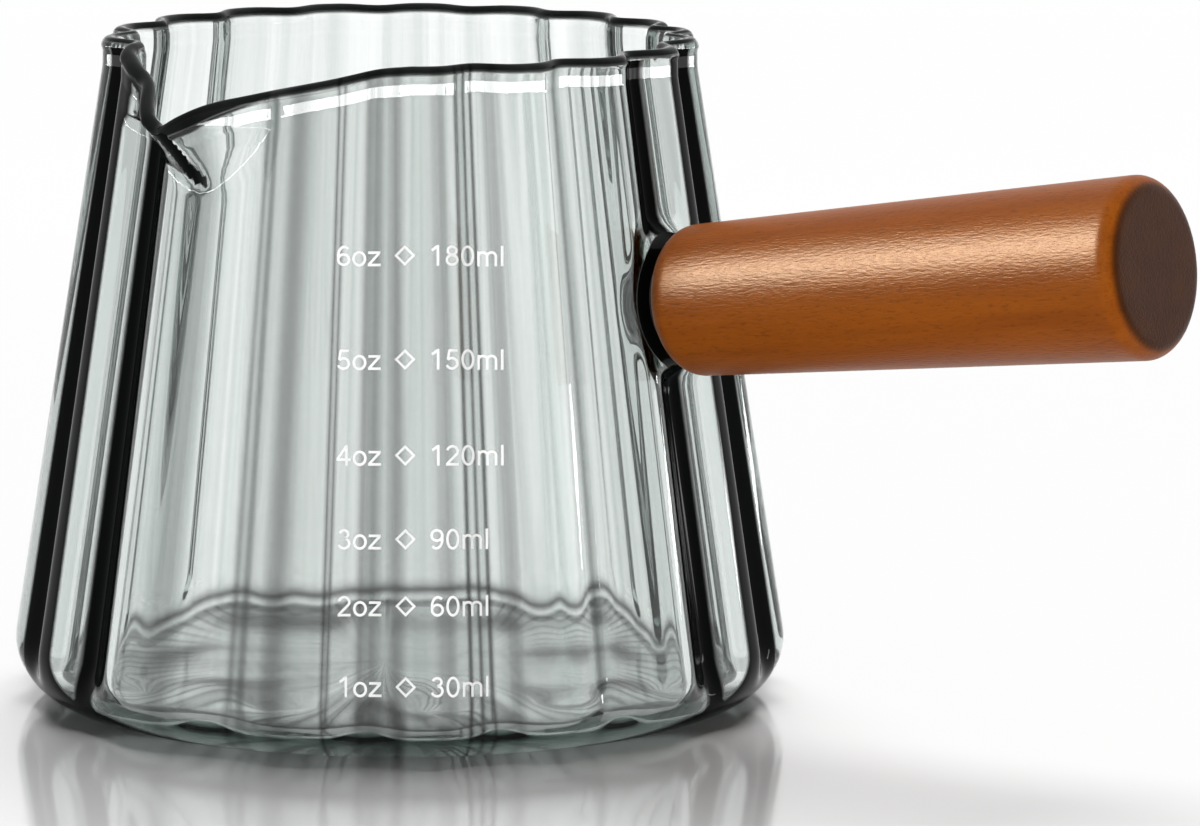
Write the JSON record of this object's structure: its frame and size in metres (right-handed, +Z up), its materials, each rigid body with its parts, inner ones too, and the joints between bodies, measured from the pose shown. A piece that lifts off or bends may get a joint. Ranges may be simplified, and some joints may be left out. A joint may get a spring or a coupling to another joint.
{
  "type": "espresso measuring cup",
  "caption": "Fluted smoke-grey glass measuring cup with a pinched pouring spout, a printed volume scale and a straight turned wooden side handle, for catching and pouring espresso.",
  "frame": {"origin": "centre of the flat underside of the base, where the cup stands on the table", "axes": "+Z up along the cup's axis, +X towards the handle in plan, spout 100 degrees clockwise from the handle seen from above"},
  "size_m": [0.1338, 0.0812, 0.0705],
  "materials": {
    "smoke_glass": "clear, smoke grey-green tint, fire polished",
    "stained_wood": "orange-brown stain under a satin lacquer, fine open pores",
    "adhesive": "cured dark adhesive",
    "white_enamel": "fired white screen print"
  },
  "bodies": {
    "root": {"glass_body": "smoke_glass", "handle_stub": "smoke_glass", "bond_sleeve": "adhesive", "wood_handle": "stained_wood", "mark_1oz": "white_enamel", "mark_2oz": "white_enamel", "mark_3oz": "white_enamel", "mark_4oz": "white_enamel", "mark_5oz": "white_enamel", "mark_6oz": "white_enamel"}
  },
  "joints": []
}
